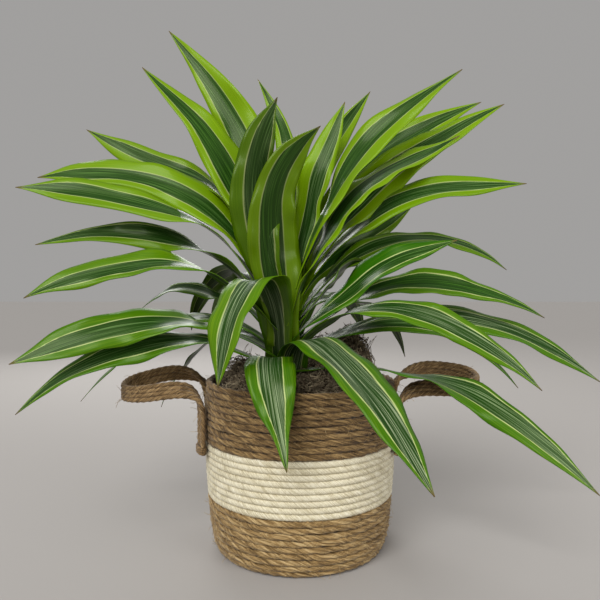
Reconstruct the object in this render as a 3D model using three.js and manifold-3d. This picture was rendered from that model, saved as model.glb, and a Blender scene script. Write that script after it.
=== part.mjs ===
// A dracaena growing in a plastic grow pot, dressed with moss, in a coiled rope basket with two loop handles.
// Millimetres, +Z up. The origin is the centre of the flat underside of the basket, and -Y is the front.
import * as THREE from "three";
import { mergeVertices } from "three/addons/utils/BufferGeometryUtils.js";
import Module from "manifold-3d";

const wasm = await Module();
wasm.setup();

// Driving dimensions.
const gap = 0.4; // between pieces that touch
const ropeWall = 9; // thickness of the coiled wall, one rope
const basketHeight = 208;
const lowerBandTop = 68;
const whiteBandTop = 134;
const baseRadius = 92;
const footRadius = 99;
const shoulderRadius = 116.5; // top of the lower band
const waistRadius = 120;
const rimRadius = 119;
const rimRound = 4;
const ringSegments = 48;

const linerThickness = 1;
const linerTop = 196;
const potHeight = 150;
const potBottomRadius = 70;
const potTopRadius = 88;
const potWall = 1.5;
const potLip = 3; // how far the pot's rim stands out
const potLipHeight = 12;
const soilTop = 152;

const mossBottom = 168;
const mossRadius = 106;
const mossEdgeTop = 198;

const stemX = -18;
const stemY = -30;
const stemRadius = 11;
const stemBottom = 110;
const stemTop = 366;

const strapWidth = 15;
const strapThickness = 7;
const strapTop = 206;
const strapAngle = 18; // degrees either side of the basket's left-right line
const lashingHeight = 9;
const loopStart = 126; // where the loop's arms leave the straps, from the basket's axis
const handleReach = 104;
const handleBand = 16; // height of the band, which stands on edge
const handleThickness = 6;
// Each loop sags from the wall: tilt lifts its back arm above its front one, droop lowers its outer end, in degrees.
const leftHandle = { tilt: 8, droop: 11 };
const rightHandle = { tilt: 9, droop: 4 };

const leafSegments = 10;
const leafMidThickness = 1.8;
const leafRoot = 0.34; // width at the root, as a share of the greatest width
const twistReach = 0.2; // either side of a blade's twist, as a share of its length
const leafFold = 14; // degrees that each half of the blade rises from the midrib

const colours = {
  seagrassDark: { color: 0x8a6238, roughness: 0.9 },
  seagrassPale: { color: 0xa9834f, roughness: 0.9 },
  cottonWhite: { color: 0xe9e2cf, roughness: 0.92 },
  handleRope: { color: 0x8f6c45, roughness: 0.9 },
  linerPlastic: { color: 0xdfe3e2, roughness: 0.35 },
  potPlastic: { color: 0x2a2b2a, roughness: 0.55 },
  soil: { color: 0x2c2119, roughness: 1 },
  moss: { color: 0x6f6250, roughness: 1 },
  stem: { color: 0x6d7b34, roughness: 0.7 },
  leaf: { color: 0x4c8a1c, roughness: 0.42 },
};
const materials = {};
for (const [name, look] of Object.entries(colours)) {
  materials[name] = new THREE.MeshStandardMaterial({ ...look, metalness: 0 });
}

const plant = new THREE.Group();

function addMesh(name, geometry, material, parent = plant) {
  const mesh = new THREE.Mesh(geometry, material);
  mesh.name = name;
  parent.add(mesh);
  return mesh;
}

// A solid of revolution about +Z from a profile of [radius, height] points.
function turned(profile, segments = ringSegments) {
  const points = profile.map(([radius, height]) => new THREE.Vector2(radius, height));
  return new THREE.LatheGeometry(points, segments).rotateX(Math.PI / 2);
}

function toSolid(geometry) {
  const bare = geometry.clone();
  bare.deleteAttribute("normal");
  bare.deleteAttribute("uv");
  const merged = mergeVertices(bare, 1e-3);
  return new wasm.Manifold(
    new wasm.Mesh({
      numProp: 3,
      vertProperties: new Float32Array(merged.attributes.position.array),
      triVerts: new Uint32Array(merged.index.array),
    }),
  );
}

function toGeometry(solid) {
  const mesh = solid.getMesh();
  return new THREE.BufferGeometry()
    .setAttribute("position", new THREE.BufferAttribute(new Float32Array(mesh.vertProperties), 3))
    .setIndex(new THREE.BufferAttribute(new Uint32Array(mesh.triVerts), 1));
}

// ---- basket: a coiled base and three bands of coiled rope, stacked ----

// A ring of wall: its outer profile going up, and the same profile one rope further in coming down.
function bandRing(outer) {
  const inner = outer.map(([radius, height]) => [radius - ropeWall, height]).reverse();
  return turned([...outer, ...inner, outer[0]]);
}

function addBasket() {
  const base = [[0, 0], [baseRadius, 0], [baseRadius, ropeWall], [0, ropeWall]];
  addMesh("basket_base", turned(base), materials.seagrassPale);

  const foot = baseRadius + gap;
  const lowerBand = [
    [foot, 0],
    [footRadius, 0],
    [106, 5],
    [110.5, 15],
    [114, 40],
    [shoulderRadius, lowerBandTop - gap],
    [shoulderRadius - ropeWall, lowerBandTop - gap],
    [114 - ropeWall, 40],
    [110.5 - ropeWall, 20],
    [foot, ropeWall + gap],
    [foot, 0],
  ];
  addMesh("basket_lower_band", turned(lowerBand), materials.seagrassPale);

  const whiteBand = bandRing([[shoulderRadius, lowerBandTop], [118.5, 95], [waistRadius, whiteBandTop - gap]]);
  addMesh("basket_white_band", whiteBand, materials.cottonWhite);

  const upperBand = bandRing([
    [waistRadius, whiteBandTop],
    [waistRadius, 170],
    [rimRadius, basketHeight - rimRound],
    [rimRadius - rimRound / 2, basketHeight],
  ]);
  addMesh("basket_upper_band", upperBand, materials.seagrassDark);
}

// ---- inside the basket: liner, grow pot and soil ----

function addLinerAndPot() {
  const linerFloor = ropeWall + gap;
  const linerOuter = [[88, linerFloor], [96, 20], [102, 40], [106, lowerBandTop], [108.5, 110], [108.5, linerTop]];
  const linerInner = linerOuter.map(([radius, height]) => [radius - linerThickness, height]);
  linerInner[0][1] += linerThickness; // its floor is as thick as its side
  const linerFilm = [[0, linerFloor], ...linerOuter, ...linerInner.reverse(), [0, linerFloor + linerThickness]];
  addMesh("basket_liner", turned(linerFilm), materials.linerPlastic);

  const potFloor = linerFloor + linerThickness + gap;
  const potTop = potFloor + potHeight;
  const potProfile = [
    [0, potFloor],
    [potBottomRadius, potFloor],
    [potTopRadius, potTop - potLipHeight],
    [potTopRadius + potLip, potTop - potLipHeight],
    [potTopRadius + potLip, potTop],
    [potTopRadius - potWall, potTop],
    [potBottomRadius - potWall, potFloor + potWall],
    [0, potFloor + potWall],
  ];
  addMesh("grow_pot", turned(potProfile), materials.potPlastic);

  const soilBottom = potFloor + potWall + gap;
  const flare = (potTopRadius - potBottomRadius) / potHeight;
  const soilRadius = (height) => potBottomRadius - potWall - gap + flare * (height - potFloor - potWall);
  const soilBlock = turned([
    [0, soilBottom],
    [soilRadius(soilBottom), soilBottom],
    [soilRadius(soilTop), soilTop],
    [0, soilTop],
  ]);
  addMesh("potting_soil", toGeometry(toSolid(soilBlock).subtract(stemSocket())), materials.soil);
}

// ---- stem, and the hole that the soil and moss leave for it ----

function stemSolid(radius, bottom, top) {
  const shoulder = 0.75 * radius;
  const profile = [
    [0, bottom],
    [shoulder, bottom],
    [radius, bottom + 8],
    [radius, 225],
    [shoulder, top - 25],
    [shoulder * 0.6, top],
    [0, top],
  ];
  return turned(profile, 16).translate(stemX, stemY, 0);
}

function stemSocket() {
  return toSolid(stemSolid(stemRadius + gap, stemBottom - gap, stemTop));
}

function addStem() {
  addMesh("stem", stemSolid(stemRadius, stemBottom, stemTop), materials.stem);
}

// ---- moss: a lumpy mound that fills the basket's mouth ----

const mossLumps = [
  { x: 78, y: 38, height: 40, spread: 34 },
  { x: 30, y: 25, height: 30, spread: 45 },
  { x: -78, y: 20, height: 16, spread: 30 },
  { x: 10, y: 70, height: 14, spread: 40 },
];

function mossHeight(x, y) {
  const lumpHeight = (lump) => lump.height * Math.exp(-((x - lump.x) ** 2 + (y - lump.y) ** 2) / lump.spread ** 2);
  return mossLumps.reduce((sum, lump) => sum + lumpHeight(lump), 0);
}

function addMoss() {
  const profile = [
    [0, mossBottom],
    [mossRadius, mossBottom],
    [mossRadius, mossEdgeTop],
    [92, 206],
    [72, 211],
    [50, 214],
    [25, 216],
    [0, 217],
  ];
  const mound = turned(profile, 32);
  const position = mound.attributes.position;
  for (let i = 0; i < position.count; i++) {
    if (position.getZ(i) > mossEdgeTop - 1) {
      position.setZ(i, position.getZ(i) + mossHeight(position.getX(i), position.getY(i)));
    }
  }
  addMesh("moss", toGeometry(toSolid(mound).subtract(stemSocket())), materials.moss);
}

// ---- handles: on each side a loop of rope band standing on edge, and two straps sewn down the wall ----

// The loop seen from above: two arms that leave the wall and meet in a round end.
function loopOutline(halfSpan, reach, inset) {
  const outline = new THREE.Shape();
  const half = halfSpan - inset;
  const end = reach - inset;
  outline.moveTo(0, -half);
  outline.bezierCurveTo(end * 0.55, -half * 1.02, end, -half * 0.8, end, 0);
  outline.bezierCurveTo(end, half * 0.8, end * 0.55, half * 1.02, 0, half);
  return outline;
}

function addHandle(side, sign, { tilt, droop }) {
  const handle = new THREE.Group(); // its +X points out of the basket
  if (sign < 0) handle.rotation.z = Math.PI;
  plant.add(handle);
  const wall = waistRadius + gap;
  const strapBottom = whiteBandTop - 2;
  for (const [place, turn] of [["front", -sign], ["back", sign]]) {
    const around = new THREE.Group();
    around.rotation.z = THREE.MathUtils.degToRad(strapAngle * turn);
    handle.add(around);
    const strap = new THREE.BoxGeometry(strapThickness, strapWidth, strapTop - strapBottom, 1, 1, 4);
    const strapMesh = addMesh(`handle_${side}_strap_${place}`, strap, materials.handleRope, around);
    strapMesh.position.set(wall + strapThickness / 2, 0, (strapTop + strapBottom) / 2);
    const lashing = new THREE.BoxGeometry(strapThickness + 1, strapWidth + 4, lashingHeight);
    const lashingMesh = addMesh(`handle_${side}_lashing_${place}`, lashing, materials.handleRope, around);
    lashingMesh.position.set(wall + (strapThickness + 1) / 2, 0, strapBottom - gap - lashingHeight / 2);
  }
  const halfSpan = (wall + strapThickness) * Math.sin(THREE.MathUtils.degToRad(strapAngle)) + strapWidth / 2;
  const outer = loopOutline(halfSpan, handleReach, 0).getPoints(12);
  const inner = loopOutline(halfSpan, handleReach, handleThickness).getPoints(12).reverse();
  const ring = new THREE.Shape([...outer, ...inner]);
  const band = new THREE.ExtrudeGeometry(ring, { depth: handleBand, bevelEnabled: false });
  band.translate(0, 0, -handleBand / 2);
  const loop = addMesh(`handle_${side}_loop`, band, materials.handleRope, handle);
  loop.rotation.set(THREE.MathUtils.degToRad(tilt * sign), THREE.MathUtils.degToRad(droop), 0, "YXZ");
  loop.position.set(loopStart, 0, strapTop + 5);
}

// ---- leaves ----
// Each leaf's spine is one arc from the stem to the tip. root is its height on the stem; heading and rise are the
// compass direction and slope in degrees in which it leaves the stem; tip is the point it reaches, and tipHeading
// and fall its direction there. Heading 0 is +X, 90 is +Y. arch is how far the arc holds its first and last
// directions, as shares of root to tip. roll turns the blade about its spine, in degrees, at the root end and at the
// tip end; twistAt is where along the blade it goes from one to the other.

const leaves = [
  { root: 344, heading: 128, rise: 78, tip: [-179, 60, 673], fall: 47, width: 46, roll: [-10, -50] },
  { root: 324, heading: 176, rise: 75, tip: [-201, 5, 603], fall: 43, width: 44, roll: [-30, -60] },
  {
    root: 314, heading: 148, rise: 68, tip: [-303, 90, 547], fall: 30,
    width: 36, roll: [15, -60], twistAt: 0.5, arch: [0.5, 0.5],
  },
  {
    root: 302, heading: 168, rise: 66, tip: [-342, 20, 466], fall: -8,
    width: 42, roll: [0, -60], arch: [0.38, 0.5],
  },
  {
    root: 288, heading: 184, rise: 62, tip: [-342, -40, 443], fall: 2,
    width: 37, roll: [0, -68], twistAt: 0.45, arch: [0.36, 0.56],
  },
  {
    root: 280, heading: 172, rise: 58, tip: [-337, 0, 377], fall: -12,
    width: 32, roll: [15, -65], twistAt: 0.45,
  },
  {
    root: 270, heading: 188, rise: 55, tip: [-324, -60, 310], fall: -28,
    width: 38, roll: [10, -60], twistAt: 0.45,
  },
  { root: 258, heading: 158, rise: 50, tip: [-221, 50, 290], fall: -38, width: 24, roll: [0, -20] },
  {
    root: 241, heading: 174, rise: 30, tip: [-327, -90, 236], fall: -22,
    width: 44, roll: [0, -55], twistAt: 0.45,
  },
  { root: 226, heading: 184, rise: 26, tip: [-330, -70, 175], fall: -42, width: 34, roll: [0, -45] },
  { root: 248, heading: 156, rise: 40, tip: [-310, 80, 162], fall: -46, width: 24, roll: [0, -20] },
  { root: 236, heading: 140, rise: 46, tip: [-201, 100, 150], fall: -62, width: 26, roll: [0, -30] },
  {
    root: 268, heading: 128, rise: 74, tip: [-155, 90, 262], fall: -84,
    width: 34, roll: [0, 20], arch: [0.7, 0.5],
  },
  {
    root: 232, heading: 236, rise: 84, tip: [-84, -150, 220], tipHeading: 240, fall: -80,
    width: 52, roll: [0, 10], arch: [1.3, 1],
  },
  {
    root: 219, heading: 250, rise: 42, tip: [-13, -172, 139], tipHeading: 300, fall: -70,
    width: 44, roll: [0, 0], arch: [0.6, 0.5],
  },
  {
    root: 223, heading: 300, rise: 72, tip: [115, -250, 143], fall: -44,
    width: 56, roll: [0, 0], arch: [0.38, 0.45],
  },
  {
    root: 358, heading: 82, rise: 86, tip: [-58, 60, 608], tipHeading: 180, fall: 60,
    width: 24, roll: [0, 0],
  },
  {
    root: 300, heading: 217, rise: 71, tip: [-27, -42, 550], tipHeading: 10, fall: 62,
    width: 46, roll: [20, 60],
  },
  {
    root: 254, heading: 262, rise: 84, tip: [24, -60, 511], tipHeading: 0, fall: 40,
    width: 50, roll: [0, 20], arch: [0.5, 0.45],
  },
  { root: 340, heading: 22, rise: 80, tip: [57, 0, 558], fall: 66, width: 36, roll: [30, 60] },
  { root: 346, heading: 70, rise: 75, tip: [96, 60, 591], fall: 52, width: 32, roll: [0, 40] },
  { root: 324, heading: -16, rise: 71, tip: [193, -45, 582], fall: 33, width: 44, roll: [20, 60] },
  { root: 330, heading: 34, rise: 63, tip: [257, 90, 586], fall: 24, width: 42, roll: [20, 58] },
  { root: 316, heading: 10, rise: 60, tip: [262, 10, 558], fall: 27, width: 42, roll: [20, 62] },
  {
    root: 308, heading: 2, rise: 57, tip: [280, -20, 451], fall: 0,
    width: 38, roll: [10, 62], twistAt: 0.35, arch: [0.4, 0.5],
  },
  { root: 298, heading: 42, rise: 52, tip: [154, 63, 434], fall: 34, width: 30, roll: [20, 60] },
  {
    root: 284, heading: 26, rise: 54, tip: [284, 60, 347], fall: -36,
    width: 26, roll: [0, 45], arch: [0.5, 0.35],
  },
  { root: 262, heading: -16, rise: 42, tip: [184, -60, 378], fall: 12, width: 44, roll: [10, 55] },
  { root: 256, heading: 8, rise: 42, tip: [320, 20, 283], fall: -28, width: 36, roll: [0, 48] },
  { root: 246, heading: -26, rise: 50, tip: [268, -100, 208], fall: -46, width: 34, roll: [0, 50] },
  { root: 242, heading: 20, rise: 24, tip: [415, 60, 192], fall: -34, width: 36, roll: [0, 50] },
  { root: 238, heading: 2, rise: 30, tip: [286, 20, 191], fall: -50, width: 22, roll: [0, 50] },
  {
    root: 222, heading: -8, rise: 7, tip: [323, -120, 98], fall: -44,
    width: 38, roll: [0, 48], twistAt: 0.48,
  },
  { root: 272, heading: 44, rise: 60, tip: [150, 90, 224], fall: -76, width: 24, roll: [0, 0] },
  {
    root: 274, heading: -8, rise: 50, tip: [94, 10, 350], fall: -24,
    width: 26, roll: [0, 0], arch: [0.6, 0.3],
  },
  { root: 318, heading: 84, rise: 62, tip: [20, 230, 480], fall: 20, width: 38, roll: [0, 0] },
  { root: 304, heading: 106, rise: 58, tip: [-130, 220, 420], fall: -5, width: 38, roll: [0, 0] },
  {
    root: 280, heading: -39, rise: 72, tip: [195, -27, 508], tipHeading: 0, fall: 26,
    width: 46, roll: [20, 80], arch: [0.5, 0.45],
  },
  { root: 284, heading: 88, rise: 50, tip: [-40, 290, 330], fall: -35, width: 38, roll: [0, 0] },
  { root: 262, heading: 116, rise: 46, tip: [-150, 240, 250], fall: -50, width: 36, roll: [0, 0] },
  { root: 256, heading: 66, rise: 44, tip: [110, 260, 240], fall: -50, width: 36, roll: [0, 0] },
];

function direction(heading, slope) {
  const h = THREE.MathUtils.degToRad(heading);
  const s = THREE.MathUtils.degToRad(slope);
  return new THREE.Vector3(Math.cos(h) * Math.cos(s), Math.sin(h) * Math.cos(s), Math.sin(s));
}

// The spine as a cubic arc. Its two handles are shares of the straight distance from root to tip.
function spineOf(leaf) {
  const level = direction(leaf.heading, 0);
  const clearance = stemRadius + gap + 1.5;
  const start = new THREE.Vector3(stemX, stemY, leaf.root).addScaledVector(level, clearance);
  const tip = new THREE.Vector3(...leaf.tip);
  const [leaveShare, arriveShare] = leaf.arch ?? [0.42, 0.42];
  const span = start.distanceTo(tip);
  const headingHome = THREE.MathUtils.radToDeg(Math.atan2(tip.y - start.y, tip.x - start.x));
  const leave = direction(leaf.heading, leaf.rise).multiplyScalar(span * leaveShare).add(start);
  const arrive = direction(leaf.tipHeading ?? headingHome, leaf.fall).multiplyScalar(-span * arriveShare).add(tip);
  return new THREE.CubicBezierCurve3(start, leave, arrive, tip);
}

// Half-width along the blade, as a share of the greatest: a narrow root, then full, then a long pointed tip.
function bladeShape(t) {
  const swell = THREE.MathUtils.smoothstep(t, 0.04, 0.5);
  const taper = t > 0.5 ? (1 - ((t - 0.5) / 0.5) ** 1.9) ** 1.1 : 1;
  return Math.max((leafRoot + (1 - leafRoot) * swell) * taper, 0.012);
}

// The blade's turn about its spine, in degrees: the root's, easing into the tip's around the twist.
function rollAt({ roll: [rootRoll, tipRoll], twistAt = 0.3 }, t) {
  const share = THREE.MathUtils.smoothstep(t, twistAt - twistReach, twistAt + twistReach);
  return THREE.MathUtils.lerp(rootRoll, tipRoll, share);
}

// Splits the lower skin's quads along the same diagonals as the upper skin's, so that a twisted blade keeps its
// thickness. The cylinder lists six corners a quad, and its +Z half is the upper skin.
function matchSkins(blade) {
  const { position } = blade.attributes;
  const corners = blade.index.array;
  for (let i = 0; i < leafSegments * 4 * 6; i += 6) {
    const [a, b, d] = corners.slice(i, i + 3);
    const c = corners[i + 4];
    if (position.getZ(a) + position.getZ(d) < 0) corners.set([a, b, c, a, c, d], i);
  }
}

function leafBlade(leaf) {
  const spine = spineOf(leaf);
  const blade = new THREE.CylinderGeometry(1, 1, 1, 4, leafSegments);
  const fold = THREE.MathUtils.degToRad(leafFold);
  const heading = THREE.MathUtils.degToRad(leaf.heading);
  const stations = [];
  let side = new THREE.Vector3(Math.sin(heading), -Math.cos(heading), 0);
  for (let i = 0; i <= leafSegments; i++) {
    const t = i / leafSegments;
    const along = spine.getTangentAt(t);
    side = side.clone().addScaledVector(along, -side.dot(along)).normalize();
    const roll = THREE.MathUtils.degToRad(rollAt(leaf, t));
    const across = side.clone().applyAxisAngle(along, roll);
    stations.push({ centre: spine.getPointAt(t), across, up: across.clone().cross(along), t });
  }
  matchSkins(blade);
  const position = blade.attributes.position;
  for (let i = 0; i < position.count; i++) {
    const { centre, across, up, t } = stations[Math.round((position.getY(i) + 0.5) * leafSegments)];
    const offset = (position.getX(i) * leaf.width * bladeShape(t)) / 2;
    const thickness = leafMidThickness * (1 - 0.7 * t);
    const lift = Math.abs(offset) * Math.sin(fold) + (position.getZ(i) * thickness) / 2;
    const point = centre.clone().addScaledVector(across, offset * Math.cos(fold)).addScaledVector(up, lift);
    position.setXYZ(i, point.x, point.y, point.z);
  }
  return blade;
}

function addLeaves() {
  leaves.forEach((leaf, i) => {
    addMesh(`leaf_${String(i + 1).padStart(2, "0")}`, leafBlade(leaf), materials.leaf);
  });
}

addBasket();
addLinerAndPot();
addMoss();
addStem();
addHandle("left", -1, leftHandle);
addHandle("right", 1, rightHandle);
addLeaves();

export default plant;
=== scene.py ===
# Dracaena in a coiled rope basket: its looks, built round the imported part. Metres, +Z up, the front faces -Y.
import math
import random

import bmesh
import bpy
import numpy as np
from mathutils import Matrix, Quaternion, Vector


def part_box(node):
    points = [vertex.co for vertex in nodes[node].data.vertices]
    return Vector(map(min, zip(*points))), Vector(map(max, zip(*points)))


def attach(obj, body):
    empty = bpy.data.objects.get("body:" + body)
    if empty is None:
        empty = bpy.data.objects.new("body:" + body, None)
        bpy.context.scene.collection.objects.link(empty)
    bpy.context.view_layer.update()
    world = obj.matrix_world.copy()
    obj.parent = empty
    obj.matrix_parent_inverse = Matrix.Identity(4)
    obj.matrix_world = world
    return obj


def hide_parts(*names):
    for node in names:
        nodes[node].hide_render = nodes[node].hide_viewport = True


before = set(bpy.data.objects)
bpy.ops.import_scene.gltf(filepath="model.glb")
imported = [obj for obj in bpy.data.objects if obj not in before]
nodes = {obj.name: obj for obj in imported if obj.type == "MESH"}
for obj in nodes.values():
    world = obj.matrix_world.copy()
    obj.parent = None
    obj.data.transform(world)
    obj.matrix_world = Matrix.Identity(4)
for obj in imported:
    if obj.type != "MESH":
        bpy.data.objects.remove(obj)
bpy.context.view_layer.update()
bpy.context.scene.view_settings.view_transform = "Standard"  # keeps the lime of the leaves

mm = 0.001


def linear(hexColour, alpha=1.0):
    channels = [int(hexColour[i:i + 2], 16) / 255 for i in (1, 3, 5)]
    return [c / 12.92 if c <= 0.04045 else ((c + 0.055) / 1.055) ** 2.4 for c in channels] + [alpha]


def feed(tree, node, inputs):
    # a plain value is set; a socket, or a node's first live output, is linked
    for socket, value in inputs.items():
        if isinstance(value, bpy.types.Node):
            value = next(output for output in value.outputs if output.enabled)
        if isinstance(value, bpy.types.NodeSocket):
            tree.links.new(value, node.inputs[socket])
        else:
            node.inputs[socket].default_value = value


def addNode(tree, kind, inputs=None, stops=(), **settings):
    node = tree.nodes.new("ShaderNode" + kind)
    for name, value in settings.items():
        setattr(node, name, value)
    feed(tree, node, inputs or {})
    for k, (position, colour) in enumerate(stops):  # a ramp's colours, in place of its first two
        while k == 0 and len(node.color_ramp.elements) > 1:
            node.color_ramp.elements.remove(node.color_ramp.elements[-1])
        element = node.color_ramp.elements[0] if k == 0 else node.color_ramp.elements.new(position)
        element.position = position
        element.color = colour
    return node


def newMaterial(name, roughness):
    material = bpy.data.materials.new(name)
    material.use_nodes = True
    tree = material.node_tree
    shader = tree.nodes["Principled BSDF"]
    feed(tree, shader, {"Roughness": roughness, "IOR": 1.45})  # 1.45 suits wax, dry fibre and plastic
    return material, tree, shader


def nothingSelected():
    if bpy.context.object and bpy.context.object.mode != "OBJECT":
        bpy.ops.object.mode_set(mode="OBJECT")
    bpy.ops.object.select_all(action="DESELECT")


def finishPiece(piece, material, replaced=()):
    piece.data.materials.clear()
    piece.data.materials.append(material)
    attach(piece, "root")
    if replaced:
        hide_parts(*replaced)


def applyModifiers(piece):
    nothingSelected()
    piece.select_set(True)
    bpy.context.view_layer.objects.active = piece
    for modifier in list(piece.modifiers):
        bpy.ops.object.modifier_apply(modifier=modifier.name)


def joinAs(name, parts):
    nothingSelected()
    for part in parts:
        part.select_set(True)
    bpy.context.view_layer.objects.active = parts[0]
    if len(parts) > 1:
        bpy.ops.object.join()
    parts[0].name = name
    parts[0].data.name = name
    return parts[0]


def smoothFaces(piece):
    piece.data.polygons.foreach_set("use_smooth", [True] * len(piece.data.polygons))


def setPoints(piece, points):
    piece.data.vertices.foreach_set("co", np.asarray(points, np.float32).ravel())
    piece.data.update()


def setAttribute(piece, name, values):
    values = np.asarray(values, np.float32)
    kind = "FLOAT_VECTOR" if values.ndim == 2 else "FLOAT"
    field = piece.data.attributes.new(name, kind, "POINT")
    field.data.foreach_set("vector" if values.ndim == 2 else "value", values.ravel())


def throughPoints(points, samples):
    # a smooth curve through the points, as Catmull-Rom spans
    points = np.asarray(points, float)
    padded = np.vstack([2 * points[0] - points[1], points, 2 * points[-1] - points[-2]])
    places = np.asarray(samples, float) * (len(points) - 1)
    span = np.clip(places.astype(int), 0, len(points) - 2)
    t = (places - span)[:, None]
    a, b, c, d = (padded[span + k] for k in range(4))
    squared, cubed = 2 * a - 5 * b + 4 * c - d, 3 * b - a - 3 * c + d
    return 0.5 * (2 * b + (c - a) * t + squared * t ** 2 + cubed * t ** 3)


def unit(vectors):
    vectors = np.asarray(vectors, float)
    return vectors / np.maximum(np.linalg.norm(vectors, axis=-1, keepdims=True), 1e-9)


black, white = (0, 0, 0, 1), (1, 1, 1, 1)

leafPaint = {
    "middle": "#1c400a",
    "middleVeinsAndGlare": ("#44741c", "#b4c49a"),  # on the plainest and on the palest leaf; the pale end is partly real pale veins and partly painted highlight, glare streaks along the veins
    "margin": ("#2a6002", "#769c00"),  # on the oldest and on the youngest leaf
    "marginVeins": "#93b01e",
    "creamLine": "#d0dc90",
    "dryTip": "#6d5a35",
    "waxShine": "#d4e6a0",
    "veinWidth": 0.8 * mm,  # real ones are finer, and this is as fine as shows
    "veinLength": 90 * mm,
    "wander": 0.12,  # how far the middle strays to one side, as a share of the width
    "fray": 0.04,
    "narrowing": (0.72, 0.3),  # the least, and how much more on some leaves
    "creamEdges": (0.222, 0.232, 0.243, 0.256),
    "marginEdges": (0.236, 0.248),
    "tipEdges": (0.965, 0.995),
}


def waxyStripedLeaf():
    # Living dracaena leaf: a smooth waxy skin, so a soft shine over lime, cream and deep green stripes.
    paint = leafPaint
    material, tree, shader = newMaterial("waxyStripedLeaf", 0.36)
    place = addNode(tree, "SeparateXYZ", {0: addNode(tree, "UVMap", uv_map="blade")})
    names = ("youth", "leafSeed", "stripeShift", "underside", "veinPalenessAndGlare")
    youth, seed, shift, under, paleVeinsAndGlare = (
        addNode(tree, "Attribute", attribute_name=name).outputs["Fac"] for name in names
    )
    # streaks that follow the veins
    run = addNode(tree, "Attribute", attribute_name="bladeRun").outputs["Vector"]
    perVein = (1 / paint["veinWidth"], 1 / paint["veinLength"], 1)
    alongVeins = addNode(tree, "VectorMath", {0: run, 1: perVein}, operation="MULTIPLY")
    streak = addNode(tree, "TexNoise", {"Vector": alongVeins, "Scale": 1.0, "Detail": 2.0})
    veins = addNode(tree, "MapRange", {0: streak, 1: 0.5, 2: 0.72})
    # how far from the midrib, 0 to 0.5, with the stripe pushed to one side and wandering a little
    ownPlace = addNode(tree, "Math", {0: seed, 1: 50.0}, operation="MULTIPLY")
    wanderPlace = addNode(tree, "CombineXYZ", {0: ownPlace, 1: place.outputs["Y"]})
    wander = addNode(tree, "TexNoise", {"Vector": wanderPlace, "Scale": 3.5, "Detail": 1.0})
    fromMidrib = addNode(tree, "Math", {0: place.outputs["X"], 1: 0.5}, operation="SUBTRACT")
    centred = addNode(tree, "Math", {0: fromMidrib, 1: shift}, operation="ADD")
    swayed = addNode(tree, "Math", {0: wander, 1: 0.5}, operation="SUBTRACT")
    drifted = addNode(tree, "Math", {0: swayed, 1: paint["wander"], 2: centred}, operation="MULTIPLY_ADD")
    distance = addNode(tree, "Math", {0: drifted}, operation="ABSOLUTE")
    least, more = paint["narrowing"]
    narrowing = addNode(tree, "Math", {0: seed, 1: more, 2: least}, operation="MULTIPLY_ADD")
    narrowed = addNode(tree, "Math", {0: distance, 1: narrowing}, operation="MULTIPLY")
    frayed = addNode(tree, "Math", {0: streak, 1: paint["fray"], 2: narrowed}, operation="MULTIPLY_ADD")
    # the dark middle and its veins, which on the palest leaves are partly painted highlight, the margin and its
    # veins, and the cream line between them
    plain, palestWithGlare = (linear(colour) for colour in paint["middleVeinsAndGlare"])
    middleVeinsAndGlare = addNode(tree, "Mix", {0: paleVeinsAndGlare, 6: plain, 7: palestWithGlare}, data_type="RGBA")
    middle = addNode(tree, "Mix", {0: veins, 6: linear(paint["middle"]), 7: middleVeinsAndGlare}, data_type="RGBA")
    old, young = (linear(colour) for colour in paint["margin"])
    ageing = addNode(tree, "Mix", {0: youth, 6: old, 7: young}, data_type="RGBA")
    faintVeins = addNode(tree, "Math", {0: veins, 1: 0.35}, operation="MULTIPLY")
    limeVeins = linear(paint["marginVeins"])
    margin = addNode(tree, "Mix", {0: faintVeins, 6: ageing, 7: limeVeins}, data_type="RGBA")
    marginMask = addNode(tree, "ValToRGB", {0: frayed}, zip(paint["marginEdges"], (black, white)))
    striped = addNode(tree, "Mix", {0: marginMask, 6: middle, 7: margin}, data_type="RGBA")
    creamMask = addNode(tree, "ValToRGB", {0: frayed}, zip(paint["creamEdges"], (black, white, white, black)))
    creamShare = addNode(tree, "Math", {0: youth, 1: -0.35, 2: 0.8}, operation="MULTIPLY_ADD")
    cream = addNode(tree, "Math", {0: creamMask, 1: creamShare}, operation="MULTIPLY")
    lined = addNode(tree, "Mix", {0: cream, 6: striped, 7: linear(paint["creamLine"])}, data_type="RGBA")
    # the last few millimetres are dry and brown, and the underside is painted at half brightness as painted
    # shade
    tipMask = addNode(tree, "ValToRGB", {0: place.outputs["Y"]}, zip(paint["tipEdges"], (black, white)))
    tipped = addNode(tree, "Mix", {0: tipMask, 6: lined, 7: linear(paint["dryTip"])}, data_type="RGBA")
    shadedUnderside = addNode(tree, "HueSaturation", {"Value": 0.5, "Color": tipped})
    feed(tree, shader, {
        "Base Color": addNode(tree, "Mix", {0: under, 6: tipped, 7: shadedUnderside}, data_type="RGBA"),
        "Normal": addNode(tree, "Bump", {"Height": streak, "Strength": 0.06, "Distance": 0.2 * mm}),
        "Specular IOR Level": 0.34,
        "Specular Tint": linear(paint["waxShine"]),
        "Coat Weight": 0.1,
        "Coat Roughness": 0.16,
    })
    return material


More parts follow.
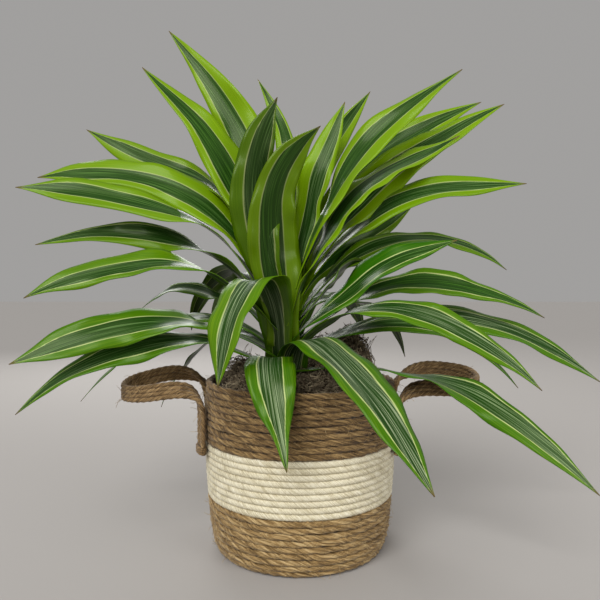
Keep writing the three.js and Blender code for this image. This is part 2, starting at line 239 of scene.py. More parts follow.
def twistedFibre(name, darkHex, midHex, paleHex, bundlesPerMm, bump):
    # Dry plant fibre or cotton, rolled into strands: matte, with lighter and darker fibres along each strand.
    material, tree, shader = newMaterial(name, 0.88)
    fibre = addNode(tree, "Attribute", attribute_name="fibre").outputs["Vector"]
    groove = addNode(tree, "Attribute", attribute_name="groove").outputs["Fac"]
    fineScale = bundlesPerMm / mm
    fine = addNode(tree, "TexNoise", {"Vector": fibre, "Scale": fineScale, "Detail": 4.0, "Roughness": 0.65})
    broad = addNode(tree, "TexNoise", {"Vector": fibre, "Scale": fineScale * 0.12, "Detail": 2.0})
    broadPart = addNode(tree, "Math", {0: broad, 1: 0.25}, operation="MULTIPLY")
    both = addNode(tree, "Math", {0: fine, 1: 0.75, 2: broadPart}, operation="MULTIPLY_ADD")
    dark, middle, pale = (linear(colour) for colour in (darkHex, midHex, paleHex))
    tone = addNode(tree, "ValToRGB", {0: both}, [(0.38, dark), (0.5, middle), (0.64, pale)])
    feed(tree, shader, {
        # painted shade: the grooves between the twisted strands are darkened toward the dark fibre colour
        "Base Color": addNode(tree, "Mix", {0: groove, 6: tone, 7: dark}, data_type="RGBA"),
        "Normal": addNode(tree, "Bump", {"Height": fine, "Strength": bump, "Distance": 0.8 * mm}),
        "Sheen Weight": 0.15,
    })
    return material


def mottled(name, darkHex, paleHex, grainMm, roughness, bump):
    # Crumbly, grown or moulded stuff: uneven in colour at the size of its crumbs, cells or ripples.
    material, tree, shader = newMaterial(name, roughness)
    place = addNode(tree, "TexCoord").outputs["Object"]
    grain = addNode(tree, "TexNoise", {"Vector": place, "Scale": 1 / (grainMm * mm), "Detail": 5.0})
    stops = [(0.35, linear(darkHex)), (0.7, linear(paleHex))]
    feed(tree, shader, {
        "Base Color": addNode(tree, "ValToRGB", {0: grain}, stops),
        "Normal": addNode(tree, "Bump", {"Height": grain, "Strength": bump, "Distance": grainMm * 0.3 * mm}),
    })
    return material


leafSkin = waxyStripedLeaf()
# Single fibres are a few tenths of a millimetre wide, too fine to show: bundles of 1 to 1.5 mm are drawn.
seagrassPale = twistedFibre("driedSeagrassPale", "#5a4422", "#a08150", "#d0b684", 0.7, 0.7)  # tan, streaky
seagrassDark = twistedFibre("driedSeagrassDark", "#3d2a12", "#84683e", "#b99a66", 0.7, 0.7)  # toasted brown
cottonCord = twistedFibre("spunCotton", "#b5a987", "#ded5b8", "#f4eed8", 0.9, 0.25)  # soft, nearly even
juteCord = twistedFibre("rolledJute", "#44321a", "#8a6d44", "#c0a274", 0.8, 0.7)  # rough and dull
seagrassFuzz = mottled("strayFibre", "#7d6238", "#d8c091", 8, 0.85, 0.05)  # pale dry ends of fibre
mossFibre = mottled("curlyDryMoss", "#4a3a28", "#b9a98a", 9, 0.95, 0.2)  # grey-brown, patchy
mossShade = mottled("mossMat", "#0f0a05", "#3b2d1d", 5, 1.0, 0.9)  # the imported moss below, mostly shadow
soilMix = mottled("pottingMix", "#120c08", "#3a2a1c", 3, 1.0, 0.8)  # damp peat crumbs
pottedPlastic = mottled("mouldedBlackPlastic", "#101110", "#171817", 2, 0.5, 0.05)  # satin, almost even
linerFilm = mottled("clearLinerFilm", "#c3c8c6", "#d5d9d8", 30, 0.3, 0.1)  # shiny thin film with soft ripples
greenBark = mottled("greenStemSkin", "#2c3a10", "#5b6d26", 6, 0.6, 0.3)  # young green skin between leaf scars
print("materials ready")


def ropeSection(angle, along, rope):
    # a rolled rope's radius as a share of its full radius, and how deep in a groove the point lies
    phase = rope["strands"] * (angle / 2 + math.pi * along / rope["pitch"])
    bulge = np.abs(np.cos(phase))
    return 1 - rope["relief"] * (1 - bulge), (1 - bulge) ** 2


def addFibres(piece, angle, along, start, groove, rope):
    # coordinates that run with the twist, drawn out along the strand, and how shaded each groove is
    phase = angle + 2 * math.pi * along / rope["pitch"]
    fibre = np.column_stack([along * 0.12 + start, np.cos(phase) * 4 * mm, np.sin(phase) * 4 * mm])
    setAttribute(piece, "fibre", fibre)
    setAttribute(piece, "groove", groove * rope["shade"])


def ropeRing(radius, height, rope, rng):
    # one row of the coil: a torus pushed into twisted strands
    stations = int(2 * math.pi * radius / rope["step"])
    turns = max(1, round(2 * math.pi * radius / rope["pitch"]))
    nothingSelected()
    bpy.ops.mesh.primitive_torus_add(
        major_segments=stations, minor_segments=rope["sides"],
        major_radius=radius, minor_radius=rope["radius"], generate_uvs=False,
    )
    ring = bpy.context.object
    points = np.array([v.co for v in ring.data.vertices])
    heading = np.arctan2(points[:, 1], points[:, 0])
    out = np.hypot(points[:, 0], points[:, 1]) - radius
    angle = np.arctan2(points[:, 2], out)
    start = rng.uniform(0, 2 * math.pi)
    slips = sum(np.sin(rng.randint(5, 24) * heading + rng.uniform(0, 6.3)) for k in range(4))
    along = heading / (2 * math.pi) * turns * rope["pitch"] + start * rope["pitch"] / 3
    along = along + slips * rope["uneven"]
    share, groove = ropeSection(angle, along, rope)
    waves = [(rng.randint(3, 9), rng.uniform(0, 6.3), rng.uniform(0.2, 1)) for k in range(4)]
    wander = sum(a * np.sin(n * heading + p) for n, p, a in waves) * rope["wander"] * 0.5
    lumps = [(rng.randint(20, 70), rng.uniform(0, 6.3)) for k in range(3)]
    lump = 1 + sum(np.sin(n * heading + p + angle) for n, p in lumps) * rope["lumps"] / 3
    size = rope["radius"] * share * lump
    far = radius + np.cos(angle) * size + wander * 0.6
    rise = height + np.sin(angle) * size + wander
    setPoints(ring, np.column_stack([np.cos(heading) * far, np.sin(heading) * far, rise]))
    addFibres(ring, angle, along, start, groove, rope)
    return ring


def ropeAlong(path, rope, rng):
    # a rope along an open path: a grid rolled into a tube, its two ends closed
    path = np.asarray(path, float)
    lengths = np.concatenate([[0], np.cumsum(np.linalg.norm(np.diff(path, axis=0), axis=1))])
    stations = max(4, int(lengths[-1] / rope["step"]))
    evenly = np.interp(np.linspace(0, lengths[-1], stations + 1), lengths, np.linspace(0, 1, len(path)))
    centres = throughPoints(path, evenly)
    tangent = unit(np.gradient(centres, axis=0))
    side = np.cross(tangent[0], (0.3, 0.5, 0.8))
    sides = []
    for t in tangent:
        side = unit(side - t * np.dot(side, t))
        sides.append(side)
    sides = np.array(sides)
    ups = np.cross(tangent, sides)
    count = rope["sides"]
    nothingSelected()
    bpy.ops.mesh.primitive_grid_add(x_subdivisions=count, y_subdivisions=stations, size=1, calc_uvs=False)
    tube = bpy.context.object
    grid = np.array([v.co for v in tube.data.vertices])
    column = np.rint((grid[:, 0] + 0.5) * count).astype(int)
    row = np.rint((grid[:, 1] + 0.5) * stations).astype(int)
    angle = column / count * 2 * math.pi
    along = row / stations * lengths[-1] + rng.uniform(0, 0.01)
    share, groove = ropeSection(angle, along, rope)
    size = (rope["radius"] * share)[:, None]
    outwards = sides[row] * np.cos(angle)[:, None] + ups[row] * np.sin(angle)[:, None]
    setPoints(tube, centres[row] + outwards * size)
    addFibres(tube, angle, along, rng.uniform(0, 3), groove, rope)
    bpy.ops.object.mode_set(mode="EDIT")
    bpy.ops.mesh.select_all(action="SELECT")
    bpy.ops.mesh.remove_doubles(threshold=0.01 * mm)
    bpy.ops.mesh.select_all(action="DESELECT")
    bpy.ops.mesh.select_non_manifold()
    bpy.ops.mesh.fill_holes(sides=0)
    bpy.ops.mesh.select_all(action="SELECT")
    bpy.ops.mesh.normals_make_consistent(inside=False)
    bpy.ops.object.mode_set(mode="OBJECT")
    return tube


# "step" is the length of a face, "squeeze" a row's radius as a share of the row spacing,
# "uneven" how far the twist slips along the rope, and "shade" how dark the grooves are
basketPlan = {
    "footClearance": 1.1 * mm,  # keeps the uneven lowest row off the floor
    "seagrass": {
        "radius": 4.0 * mm, "pitch": 54 * mm, "strands": 4, "relief": 0.4, "sides": 16, "step": 2.7 * mm,
        "wander": 0.9 * mm, "lumps": 0.15, "shade": 0.75, "squeeze": 0.56, "uneven": 1.6 * mm,
    },
    "cotton": {
        "radius": 3.9 * mm, "pitch": 26 * mm, "strands": 4, "relief": 0.26, "sides": 14, "step": 2.0 * mm,
        "wander": 0.2 * mm, "lumps": 0.03, "shade": 0.22, "squeeze": 0.6, "uneven": 0.3 * mm,
    },
    "lowerRows": 9,
    "whiteRows": 9,
    "upperRows": 10,
    "seed": 11,
}


def wallProfile():
    # outer radius of the CAD wall against height, from its own vertices
    outline = {}
    for name in ("basket_lower_band", "basket_white_band", "basket_upper_band"):
        for vertex in nodes[name].data.vertices:
            height = round(vertex.co.z, 4)
            outline[height] = max(outline.get(height, 0), math.hypot(vertex.co.x, vertex.co.y))
    heights, widest = [], 0
    for height in sorted(outline):
        widest = max(widest, outline[height])
        if outline[height] > 0.96 * widest:  # the inner face's own corners fall short of this
            heights.append(height)
    return heights, [outline[h] for h in heights]


def ropeBand(name, rows, rope, material, rng):
    low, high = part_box(name)
    heights, radii = wallProfile()
    spacing = (high.z - low.z) / rows
    rings = []
    for row in range(rows):
        fit = dict(rope, radius=max(rope["radius"], spacing * rope["squeeze"]))
        height = max(low.z + spacing * (row + 0.5), fit["radius"] + basketPlan["footClearance"])
        outer = np.interp(height, heights, radii)
        rings.append(ropeRing(outer - fit["radius"] * 0.97, height, fit, rng))
    band = joinAs(name.replace("basket_", "rope_"), rings)
    smoothFaces(band)
    finishPiece(band, material, [name])


def ropeBase(rope, rng):
    low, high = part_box("basket_base")
    plain = dict(rope, sides=8, step=4 * mm, wander=0)  # it is seen from below only
    height = low.z + rope["radius"] * 1.02 + 0.6 * mm
    rings = []
    radius = high.x + rope["radius"]
    while radius > rope["radius"] * 2:
        rings.append(ropeRing(radius, height, plain, rng))
        radius -= rope["radius"] * 1.86
    base = joinAs("rope_base", rings)
    smoothFaces(base)
    finishPiece(base, seagrassPale, ["basket_base"])


def makeBasket():
    rng = random.Random(basketPlan["seed"])
    seagrass, cotton = basketPlan["seagrass"], basketPlan["cotton"]
    ropeBand("basket_lower_band", basketPlan["lowerRows"], seagrass, seagrassPale, rng)
    ropeBand("basket_white_band", basketPlan["whiteRows"], cotton, cottonCord, rng)
    ropeBand("basket_upper_band", basketPlan["upperRows"], seagrass, seagrassDark, rng)
    ropeBase(seagrass, rng)
    print("basket made")


handlePlan = {
    "cord": {
        "radius": 3.4 * mm, "pitch": 26 * mm, "strands": 3, "relief": 0.36, "sides": 12, "step": 1.6 * mm,
        "shade": 0.85,
    },
    "cords": 4,
    "strapSpacing": 8.4 * mm,  # the cords lie looser on the wall
    "loopSpacing": 4.9 * mm,
    "slack": 0.4 * mm,  # how far a cord strays from its line
    "lashingTurns": 3,
    "lashingCord": 2.0 * mm,
    "lashingReach": (14.5 * mm, 4.2 * mm),  # half its width, and how deep it goes round the cords
    "proud": 1.6 * mm,  # how far the straps stand off the CAD strap's middle
    "seed": 23,
}


def strapLine(side, place):
    # up a strap, with the way its cords lie side by side round the basket
    low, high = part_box(f"handle_{side}_strap_{place}")
    centre = Vector((low + high) / 2)
    proud = Vector((centre.x, centre.y, 0)).normalized() * handlePlan["proud"]
    rise = [Vector((centre.x, centre.y, low.z + (high.z - low.z) * k / 5)) + proud for k in range(6)]
    return [(point, (-centre.y, centre.x, 0)) for point in rise]


def handleCentreline(side):
    # up the front strap, out round the loop and down the back strap
    sign = -1 if side == "left" else 1
    loop = np.array([v.co for v in nodes[f"handle_{side}_loop"].data.vertices])
    nearX, farX = sorted((loop[:, 0].min() * sign, loop[:, 0].max() * sign))
    # the loop's two arms and its far end, from the CAD loop's points
    nearEdge = loop[np.abs(loop[:, 0] * sign - nearX) < 12 * mm]
    frontArm = nearEdge[nearEdge[:, 1] < 0].mean(axis=0)
    backArm = nearEdge[nearEdge[:, 1] > 0].mean(axis=0)
    tipBand = loop[np.abs(loop[:, 0] * sign - farX) < 5 * mm].mean(axis=0)
    outline = []
    for k in range(25):
        turn = math.pi * k / 24
        along = math.sin(turn) ** 0.62
        across = math.cos(turn)
        across = math.copysign(abs(across) ** 0.8, across)
        base = frontArm * (1 + across) / 2 + backArm * (1 - across) / 2
        point = base + (tipBand - (frontArm + backArm) / 2) * along * 0.97
        outline.append((Vector(point), (0, 0, 1)))
    return strapLine(side, "front") + outline[1:-1] + strapLine(side, "back")[::-1]


def makeHandle(side, rng):
    stops = handleCentreline(side)
    path = np.array([p for p, lie in stops])
    lie = np.array([unit(w) for p, w in stops])
    # side by side round the basket on the straps, one above another on the loop
    for i in range(len(lie)):
        tangent = unit(path[min(i + 1, len(path) - 1)] - path[max(i - 1, 0)])
        if np.dot(lie[i], (0, 1, 0)) * (1 if i < len(lie) / 2 else -1) < 0 and abs(lie[i][2]) < 0.5:
            lie[i] = -lie[i]
        lie[i] = unit(lie[i] - tangent * np.dot(lie[i], tangent))
    for smoothing in range(3):
        lie[1:-1] = unit(lie[:-2] + 2 * lie[1:-1] + lie[2:])
        path[3:-3] = (path[2:-4] + 2 * path[3:-3] + path[4:-2]) / 4
    cords = []
    for k in range(handlePlan["cords"]):
        spacings = (handlePlan["strapSpacing"], handlePlan["loopSpacing"])
        spacing = np.interp(np.abs(lie[:, 2]), (0.2, 0.9), spacings)
        offset = (k - (handlePlan["cords"] - 1) / 2) * spacing
        phase = np.linspace(0, rng.uniform(14, 22), len(path)) + rng.uniform(0, 6.3)
        stray = offset + np.sin(phase) * handlePlan["slack"]
        cords.append(ropeAlong(path + lie * stray[:, None], handlePlan["cord"], rng))
    handle = joinAs(f"handle_{side}_cords", cords)
    smoothFaces(handle)
    finishPiece(handle, juteCord,
                [f"handle_{side}_loop", f"handle_{side}_strap_front", f"handle_{side}_strap_back"])
    for place in ("front", "back"):
        makeLashing(side, place, rng)


def makeLashing(side, place, rng):
    # a few turns of cord round the foot of the strap, each turn a flattened ring
    name = f"handle_{side}_lashing_{place}"
    low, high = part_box(name)
    centre = (low + high) / 2
    out = Vector((centre.x, centre.y, 0)).normalized()
    acrossWay = Vector((-out.y, out.x, 0))
    halfWidth, depth = handlePlan["lashingReach"]
    cord = dict(handlePlan["cord"], radius=handlePlan["lashingCord"])
    turns = []
    for k in range(handlePlan["lashingTurns"]):
        height = low.z + (high.z - low.z) * (k + 0.5) / handlePlan["lashingTurns"]
        loop = []
        for step in range(17):
            turn = 2 * math.pi * step / 16
            level = Vector((centre.x, centre.y, height + 0.5 * mm * math.sin(turn)))
            loop.append(level + acrossWay * math.cos(turn) * halfWidth
                        + out * (math.sin(turn) * depth + handlePlan["proud"]))
        turns.append(ropeAlong([tuple(p) for p in loop], cord, rng))
    lashing = joinAs(f"wrap_{side}_{place}", turns)
    smoothFaces(lashing)
    finishPiece(lashing, juteCord, [name])


def makeHandles():
    rng = random.Random(handlePlan["seed"])
    for side in ("left", "right"):
        makeHandle(side, rng)
    print("handles made")


leafPlan = {
    "along": 44,  # faces along a blade
    "across": 10,
    "sheathRows": 5,
    "sheathDepth": 24 * mm,  # how far the leaf's base runs down the stem
    "thickness": 0.7 * mm,
    "ripple": 3.2 * mm,  # of the edges
    "rollUnder": 0.10,  # of the edges, as a share of the half-width
    "pinchReach": 0.09,  # shares of the length
    "shoulderAt": 0.86,
    "shoulderReach": 0.13,
    "rootFade": 2.6,  # how soon the broad root gives way to the blade
    "flatterTip": 0.3,  # how much of the fold is gone at the tip
    "sheathWrap": 1.5,  # radians each way round the stem at the foot of the sheath
    "rootSpread": 1.5,  # how much broader the root is than the CAD blade's
    "seed": 5,
}

# leaves that differ from the run of them
leafHabits = {
    "leaf_01": {"shoulder": -0.1, "shift": 0.1, "roll": 6},
    "leaf_02": {"shoulder": 0.1, "shift": 0.05, "roll": 6},
    "leaf_04": {"shoulder": 0.9, "shift": 0.05},
    "leaf_05": {"shoulder": 1.0, "shift": -0.05},
    # leaves 14 to 16 have their vein paleness raised as painted highlight: pale streaks where the glare lies
    "leaf_14": {"shift": 0.02, "pinch": 0, "roll": 3, "paleVeinsAndGlare": 0.7},
    "leaf_15": {"shift": 0, "roll": 3, "shoulder": -0.3, "pinch": 0, "paleVeinsAndGlare": 0.8},
    "leaf_16": {"shift": 0, "pinch": 0, "roll": 4, "shoulder": 0.2, "paleVeinsAndGlare": 1.0},
    "leaf_18": {"pinch": 0, "roll": 4, "youth": 0.5},
    "leaf_19": {"pinch": 0, "roll": 4},
    "leaf_28": {"youth": 0.0, "shift": -0.1, "pinch": 0.1},
    "leaf_30": {"paleVeinsAndGlare": 0.7},
    "leaf_31": {"paleVeinsAndGlare": 0.6},
    "leaf_33": {"shift": 0.1, "paleVeinsAndGlare": 0.5},
}


def stemAxis():
    # the stem's middle and its radius
    low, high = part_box("stem")
    return (low + high) / 2, (high.x - low.x) / 2


def bladeRings(name):
    # the CAD blade's own stations: midrib, left edge and right edge, from root to tip
    blade = bmesh.new()
    blade.from_mesh(nodes[name].data)
    bmesh.ops.remove_doubles(blade, verts=blade.verts, dist=0.01 * mm)
    blade.verts.index_update()
    axis = stemAxis()[0]
    # the middle of each end: four neighbours that lie evenly round it
    caps = []
    for v in blade.verts:
        around = [e.other_vert(v).co for e in v.link_edges]
        if len(around) == 4 and (sum(around, Vector()) / 4 - v.co).length < 1.5 * mm:
            caps.append(v)
    root = min(caps, key=lambda v: math.hypot(v.co.x - axis.x, v.co.y - axis.y))
    seen, layer, rings = {root}, {root}, []
    while layer:
        layer = {e.other_vert(v) for v in layer for e in v.link_edges} - seen
        seen |= layer
        if len(layer) == 4:
            rings.append([v.co.copy() for v in sorted(layer, key=lambda v: v.index)])
    blade.free()
    stations = []
    for ring in rings:
        if not stations:
            wide = max(((a, b) for a in ring for b in ring), key=lambda ab: (ab[0] - ab[1]).length)
            left, right = wide
            middle = sum((p for p in ring if p is not left and p is not right), Vector()) / 2
            heading = middle - Vector((axis.x, axis.y, middle.z))
            if heading.cross(left - right).z < 0:
                left, right = right, left
        else:
            centre = sum(ring, Vector()) / 4
            oldMiddle, oldLeft, oldRight = stations[-1]
            left = min(ring, key=lambda p: (p - centre - (oldLeft - oldMiddle)).length)
            others = [p for p in ring if p is not left]
            right = min(others, key=lambda p: (p - centre - (oldRight - oldMiddle)).length)
            middle = sum((p for p in ring if p is not left and p is not right), Vector()) / 2
        stations.append((middle, left, right))
    return [np.array([tuple(s[k]) for s in stations]) for k in range(3)]


def turnedAbout(vectors, axes, angles):
    # each vector turned about its own axis (Rodrigues)
    cosine, sine = np.cos(angles)[:, None], np.sin(angles)[:, None]
    kept = axes * np.sum(axes * vectors, axis=1)[:, None] * (1 - cosine)
    return vectors * cosine + np.cross(axes, vectors) * sine + kept


def bladeFrame(name, habit):
    # the blade's spine, half-width, directions and fold from root to tip, from the CAD blade's stations
    middle, left, right = bladeRings(name)
    share = np.linspace(0, 1, leafPlan["along"] + 1)
    spine = throughPoints(middle, share)
    leftEdge, rightEdge = throughPoints(left, share), throughPoints(right, share)
    tangent = unit(np.gradient(spine, axis=0))
    sideways = unit(rightEdge - leftEdge)
    halfWidth = np.linalg.norm(rightEdge - leftEdge, axis=1) / 2
    fold = np.sum(((leftEdge + rightEdge) / 2 - spine) * np.cross(sideways, tangent), axis=1)
    # broad clasping root, fuller shoulders before the tip, a slight pinch where the blade turns over
    pinch = habit["pinch"] * np.exp(-(((share - habit["pinchAt"]) / leafPlan["pinchReach"]) ** 2))
    shoulder = np.exp(-(((share - leafPlan["shoulderAt"]) / leafPlan["shoulderReach"]) ** 2))
    halfWidth = halfWidth * (1 + leafPlan["rootSpread"] * (1 - share) ** leafPlan["rootFade"])
    halfWidth = halfWidth * (1 + habit["shoulder"] * shoulder - pinch)
    swing = np.sin(np.pi * np.clip(share, 0, 1)) ** 0.8
    sway = habit["roll"] * np.sin(2 * np.pi * (share * habit["rollWaves"] + habit["rollStart"])) * swing
    sideways = turnedAbout(sideways, tangent, np.radians(sway))
    upward = unit(np.cross(sideways, tangent))
    drift = habit["drift"] * np.sin(2 * np.pi * (share * 1.6 + habit["rollStart"])) * swing * mm
    fold = fold * (1 - leafPlan["flatterTip"] * share)
    return spine + upward * drift[:, None], halfWidth, sideways, upward, fold, share


def makeLeaf(name, habit):
    spine, halfWidth, sideways, upward, fold, share = bladeFrame(name, habit)
    axis, stemRadius = stemAxis()
    rows, columns, sheath = leafPlan["along"], leafPlan["across"], leafPlan["sheathRows"]
    total = rows + sheath
    nothingSelected()
    bpy.ops.mesh.primitive_grid_add(x_subdivisions=columns, y_subdivisions=total, size=1, calc_uvs=True)
    blade = bpy.context.object
    blade.name = name.replace("leaf", "blade")
    grid = np.array([v.co for v in blade.data.vertices])
    u = grid[:, 0] * 2
    row = np.rint((grid[:, 1] + 0.5) * total).astype(int) - sheath
    k = np.maximum(row, 0)
    t, reach = share[k], np.abs(u)
    # a V with a softened midrib, edges that ripple and roll slightly under
    soft = (np.sqrt(reach ** 2 + 0.02) - math.sqrt(0.02)) / (math.sqrt(1.02) - math.sqrt(0.02))
    waves = np.sin(2 * math.pi * (habit["waves"] * t + habit["waveStart"]) + np.where(u > 0, 1.1, 0))
    quicker = 2 * math.pi * (habit["waves"] * 2.3 * t + habit["rollStart"])
    waves = waves + 0.5 * np.sin(quicker - np.where(u > 0, 0.6, 0))
    swing = np.sin(math.pi * np.clip(t, 0, 1)) ** 0.6
    ripple = leafPlan["ripple"] * waves * reach ** 2.2 * swing * np.minimum(halfWidth[k] / 0.02, 1)
    lift = fold[k] * soft + ripple - leafPlan["rollUnder"] * halfWidth[k] * reach ** 3
    points = spine[k] + sideways[k] * (u * halfWidth[k])[:, None] + upward[k] * lift[:, None]
    # the sheath: the base widens, wraps the stem and runs down it
    root = spine[0]
    heading = math.atan2(root[1] - axis.y, root[0] - axis.x)
    wrap = halfWidth[0] / math.hypot(root[0] - axis.x, root[1] - axis.y)
    roundWay = 1 if np.dot(sideways[0][:2], (-math.sin(heading), math.cos(heading))) > 0 else -1
    depth = np.maximum(-row, 0) / sheath
    angle = heading + roundWay * u * (wrap + (leafPlan["sheathWrap"] - wrap) * depth ** 0.8)
    far = stemRadius + (1.9 - 1.5 * depth) * mm
    clasp = np.column_stack([
        axis.x + np.cos(angle) * far,
        axis.y + np.sin(angle) * far,
        root[2] - leafPlan["sheathDepth"] * depth ** 0.9,
    ])
    points = np.where((row < 0)[:, None], clasp, points)
    setPoints(blade, points)
    uvLayer = blade.data.uv_layers[0]
    uvLayer.name = "blade"
    uvs = np.zeros(len(blade.data.loops) * 2, np.float32)
    corners = np.array([loop.vertex_index for loop in blade.data.loops])
    uvs[0::2] = u[corners] * 0.5 + 0.5
    uvs[1::2] = k[corners] / rows
    uvLayer.data.foreach_set("uv", uvs)
    length = np.linalg.norm(np.diff(spine, axis=0), axis=1).sum()
    run = np.column_stack([u * halfWidth[k], row / rows * length, np.full(len(u), habit["seed"] * 9)])
    setAttribute(blade, "bladeRun", run)
    smoothFaces(blade)
    shell = blade.modifiers.new("thickness", "SOLIDIFY")
    shell.thickness = leafPlan["thickness"]
    shell.offset = 0
    applyModifiers(blade)
    count = len(blade.data.vertices)
    # Solidify adds the second skin after the first one's points
    under = np.zeros(count, np.float32)
    skinPoints = np.array([v.co for v in blade.data.vertices])
    towards = np.sum((skinPoints[:len(u)] - points) * upward[k], axis=1).mean() > 0
    under[len(u):] = 1 if towards else 0
    under[:len(u)] = 0 if towards else 1
    fields = {"youth": "youth", "leafSeed": "seed", "stripeShift": "shift", "veinPalenessAndGlare": "paleVeinsAndGlare"}
    for field, key in fields.items():
        setAttribute(blade, field, np.full(count, habit[key]))
    # the underside mark picks out the skin that gets the painted shade
    setAttribute(blade, "underside", under)
    finishPiece(blade, leafSkin, [name])


def makeLeaves():
    rng = random.Random(leafPlan["seed"])
    for name in sorted(n for n in nodes if n.startswith("leaf_")):
        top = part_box(name)[1].z
        habit = {
            "youth": min(1, max(0, (top - 0.26) / 0.28)) * 0.85 + rng.uniform(0, 0.15),
            "seed": rng.random(),
            "shift": rng.uniform(-0.13, 0.13),  # share of the width that the dark stripe sits off the midrib
            "pinch": rng.uniform(0.05, 0.42),
            "pinchAt": rng.uniform(0.2, 0.42),
            "shoulder": rng.uniform(0, 0.7),
            "roll": rng.uniform(4, 16),  # degrees
            "rollWaves": rng.uniform(0.8, 1.6),
            "rollStart": rng.random(),
            "drift": rng.uniform(1, 4),  # mm
            "waves": rng.uniform(1.8, 3.2),
            "waveStart": rng.random(),
            "paleVeinsAndGlare": rng.uniform(0, 0.3),
        }
        habit.update(leafHabits.get(name, {}))
        makeLeaf(name, habit)
    print("leaves made")


mossPlan = {
    "strands": 1700,
    "length": (35 * mm, 85 * mm),
    "radius": 0.5 * mm,
    "segments": 16,
    "clumps": 14 * mm,
    "lumpiness": 7 * mm,
    "variants": 24,  # different strands, each laid many times
    "loose": 220,  # strands that curl up off the mound
    "seed": 42,
}


def mossBed():
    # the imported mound, made lumpy
    bed = nodes["moss"].copy()
    bed.data = nodes["moss"].data.copy()
    bed.name = "moss_mat"
    for key in list(bed.keys()):
        del bed[key]
    bpy.context.scene.collection.objects.link(bed)
    nothingSelected()
    bed.select_set(True)
    bpy.context.view_layer.objects.active = bed
    bpy.ops.object.mode_set(mode="EDIT")
    bpy.ops.mesh.select_all(action="SELECT")
    bpy.ops.mesh.remove_doubles(threshold=0.02 * mm)
    bpy.ops.mesh.subdivide(number_cuts=3)
    bpy.ops.object.mode_set(mode="OBJECT")
    clouds = bpy.data.textures.new("mossClumps", "CLOUDS")
    clouds.noise_scale = mossPlan["clumps"]
    clumps = bed.modifiers.new("clumps", "DISPLACE")
    clumps.texture = clouds
    clumps.strength = mossPlan["lumpiness"]
    clumps.mid_level = 0.95
    clumps.texture_coords = "LOCAL"
    applyModifiers(bed)
    smoothFaces(bed)
    finishPiece(bed, mossShade, ["moss"])
    return bed


def curlyStrand(rng, length, radius, segments, curliness=1.0):
    # points of one three-sided curly strand that starts at the origin
    turn, pitchTurn = (rng.uniform(0, 6.3) if curliness == 1.0 else 0.0), 0.0
    place = np.zeros(3)
    step = length / segments
    curl = rng.uniform(0.25, 0.75) * rng.choice((-1, 1)) * curliness
    line = [place.copy()]
    for k in range(segments):
        turn += curl + rng.uniform(-0.35, 0.35)
        pitchTurn = 0.75 * pitchTurn + rng.uniform(-0.45, 0.45)
        place = place + step * np.array((math.cos(turn), math.sin(turn), math.sin(pitchTurn)))
        line.append(place.copy())
    line = np.array(line)
    tangent = unit(np.gradient(line, axis=0))
    side = unit(np.cross(tangent, (0.1, 0.2, 0.97)))
    up = np.cross(side, tangent)
    ring = []
    for k in range(segments + 1):
        thin = radius * (1 if k < segments else 0.3)
        for corner in range(3):
            a = corner * 2 * math.pi / 3
            ring.append(line[k] + side[k] * math.cos(a) * thin + up[k] * math.sin(a) * thin)
    return np.array(ring)


def strandFaces(segments):
    faces = [(2, 1, 0)]
    for k in range(segments):
        for corner in range(3):
            a, b = k * 3 + corner, k * 3 + (corner + 1) % 3
            faces.append((a, b, b + 3, a + 3))
    last = segments * 3
    faces.append((last, last + 1, last + 2))
    return faces


def strandPile(name, strands, faces, material):
    # hundreds of loose strands with no grid to start from, so their points are laid in one go
    count = len(strands[0])
    mesh = bpy.data.meshes.new(name)
    allFaces = [tuple(i + n * count for i in face) for n in range(len(strands)) for face in faces]
    mesh.from_pydata(np.vstack(strands).tolist(), [], allFaces)
    pile = bpy.data.objects.new(name, mesh)
    bpy.context.scene.collection.objects.link(pile)
    nothingSelected()
    pile.select_set(True)
    bpy.context.view_layer.objects.active = pile
    bpy.ops.object.mode_set(mode="EDIT")
    bpy.ops.mesh.select_all(action="SELECT")
    bpy.ops.mesh.normals_make_consistent(inside=False)
    bpy.ops.object.mode_set(mode="OBJECT")
    smoothFaces(pile)
    finishPiece(pile, material)


def makeMoss():
    rng = random.Random(mossPlan["seed"])
    bed = mossBed()
    tops = [p for p in bed.data.polygons if p.normal.z > 0.25 and p.center.z > 0.19]
    weights = [p.area for p in tops]
    variants = [
        curlyStrand(rng, rng.uniform(*mossPlan["length"]), mossPlan["radius"], mossPlan["segments"])
        for k in range(mossPlan["variants"])
    ]
    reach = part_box("moss")[1].x - 6 * mm
    strands = []
    for patch in rng.choices(tops, weights, k=mossPlan["strands"]):
        strand = rng.choice(variants)
        spin = rng.uniform(0, 2 * math.pi)
        c, s = math.cos(spin), math.sin(spin)
        x, y, z = strand.T
        turned = np.column_stack([x * c - y * s, x * s + y * c, z])
        # strands lie on the slope they grow over, and a few curl up off it
        normal = np.array(patch.normal)
        slope = -(turned[:, 0] * normal[0] + turned[:, 1] * normal[1]) / max(normal[2], 0.35)
        loose = len(strands) < mossPlan["loose"]
        turned[:, 2] = turned[:, 2] * (1.0 if loose else 0.45) + slope * 0.9
        turned = turned - turned.mean(axis=0)
        if loose:
            turned[:, 2] = np.abs(turned[:, 2]) * 1.3
        moved = turned + np.array(patch.center) + (0, 0, rng.uniform(0, 5) * mm)
        far = np.hypot(moved[:, 0], moved[:, 1]).max()
        if far > reach:
            moved[:, :2] *= reach / far
        strands.append(moved)
    strandPile("moss_strands", strands, strandFaces(mossPlan["segments"]), mossFibre)
    print("moss made")


fuzzPlan = {
    "fibres": (
        ("rope_lower_band", 260, "seagrass_rope"),
        ("rope_upper_band", 320, "dark_seagrass_rope"),
        ("handle_left_cords", 70, "handle_cord"),
        ("handle_right_cords", 70, "handle_cord"),
    ),
    "segments": 5,
    "variants": 12,
    "curliness": 0.35,
    "length": (5 * mm, 14 * mm),
    "radius": 0.22 * mm,
    "seed": 8,
}


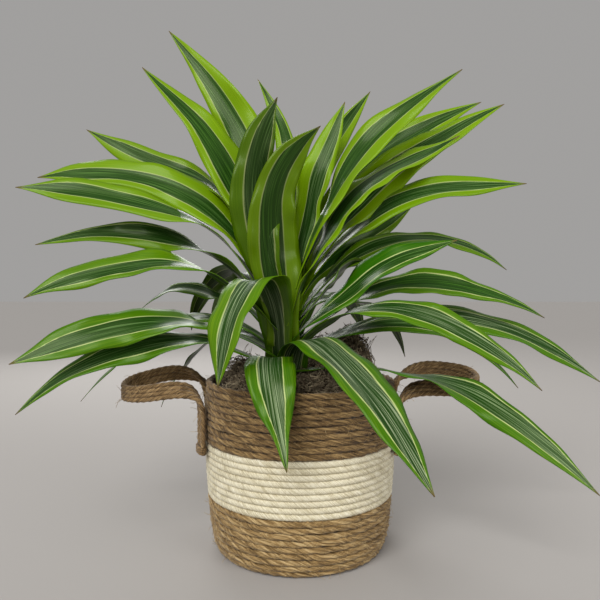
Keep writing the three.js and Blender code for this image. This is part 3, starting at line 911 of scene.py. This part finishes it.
def makeFuzz():
    rng = random.Random(fuzzPlan["seed"])
    radius, segments = fuzzPlan["radius"], fuzzPlan["segments"]
    variants = [
        curlyStrand(rng, rng.uniform(*fuzzPlan["length"]), radius, segments, fuzzPlan["curliness"])
        for k in range(fuzzPlan["variants"])
    ]
    for name, count, slotName in fuzzPlan["fibres"]:
        rope = bpy.data.objects[name]
        faces = rope.data.polygons
        fibres = []
        while len(fibres) < count:
            face = faces[rng.randrange(len(faces))]
            away = Vector(face.normal)
            if Vector((face.center.x, face.center.y, 0)).normalized().dot(away) < 0.5:
                continue
            # each fibre leaves the rope at a low angle
            side = away.orthogonal().normalized()
            side.rotate(Quaternion(away, rng.uniform(0, 6.3)))
            along = (side + away * rng.uniform(0.1, 0.7)).normalized()
            turn = Vector((1, 0, 0)).rotation_difference(along).to_matrix()
            fibre = rng.choice(variants) @ np.array(turn).T + np.array(face.center)
            if fibre[:, 2].min() > 0.3 * mm:  # none reaches the floor
                fibres.append(fibre)
        strandPile(f"{name}_fuzz", fibres, strandFaces(segments), seagrassFuzz)
    print("stray fibres made")


def dressHidden():
    # pieces that hardly show keep their CAD shape
    for name, material, slotName in (
        ("basket_liner", linerFilm, "liner"),
        ("grow_pot", pottedPlastic, "pot"),
        ("potting_soil", soilMix, "soil"),
        ("stem", greenBark, "stem"),
    ):
        nodes[name].data.materials.clear()
        nodes[name].data.materials.append(material)


makeBasket()
makeHandles()
makeLeaves()
makeMoss()
makeFuzz()
dressHidden()


studioPlan = {
    "floor": "#aeaaa6",
    "air": "#e8e6e4",
    "airStrength": 0.44,
    "highWindow": {"place": (-0.7, -1.7, 1.7), "angle": 40, "energy": 2.3},  # degrees across, W per m2
    "softboxes": {  # where, how wide in metres, and how many watts
        "fillSoftbox": ((1.5, -1.4, 1.0), 0.9, 12),
        "backSoftbox": ((-0.6, 1.8, 1.4), 1.2, 16),
    },
    "aim": (0, 0, 0.25),
    "cameraPlace": (0, -0.75, 0.32),
    "cameraDown": 1.0,  # degrees below level
    "focalMm": 35.34,
}


def addLamp(kind, name, place, power):
    bpy.ops.object.light_add(type=kind, location=place)
    lamp = bpy.context.object
    lamp.name = name
    lamp.data.energy = power
    lamp.rotation_euler = (Vector(studioPlan["aim"]) - Vector(place)).to_track_quat("-Z", "Y").to_euler()
    return lamp.data


def makeStudio():
    nothingSelected()
    bpy.ops.mesh.primitive_plane_add(size=30, location=(0, 0, -0.2 * mm))
    floor = bpy.context.object
    floor.name = "floor"
    material, tree, shader = newMaterial("mattPaper", 0.9)
    feed(tree, shader, {"Base Color": linear(studioPlan["floor"])})
    floor.data.materials.append(material)
    world = bpy.data.worlds.new("air")
    bpy.context.scene.world = world
    world.use_nodes = True
    air = {"Color": linear(studioPlan["air"]), "Strength": studioPlan["airStrength"]}
    feed(world.node_tree, world.node_tree.nodes["Background"], air)
    window = studioPlan["highWindow"]
    addLamp("SUN", "highWindow", window["place"], window["energy"]).angle = math.radians(window["angle"])
    for name, (place, size, power) in studioPlan["softboxes"].items():
        addLamp("AREA", name, place, power).size = size
    tilt = math.radians(90 - studioPlan["cameraDown"])
    bpy.ops.object.camera_add(location=studioPlan["cameraPlace"], rotation=(tilt, 0, 0))
    camera = bpy.context.object
    camera.data.sensor_width = 36
    camera.data.lens = studioPlan["focalMm"]
    bpy.context.scene.camera = camera
    print("studio ready")


makeStudio()
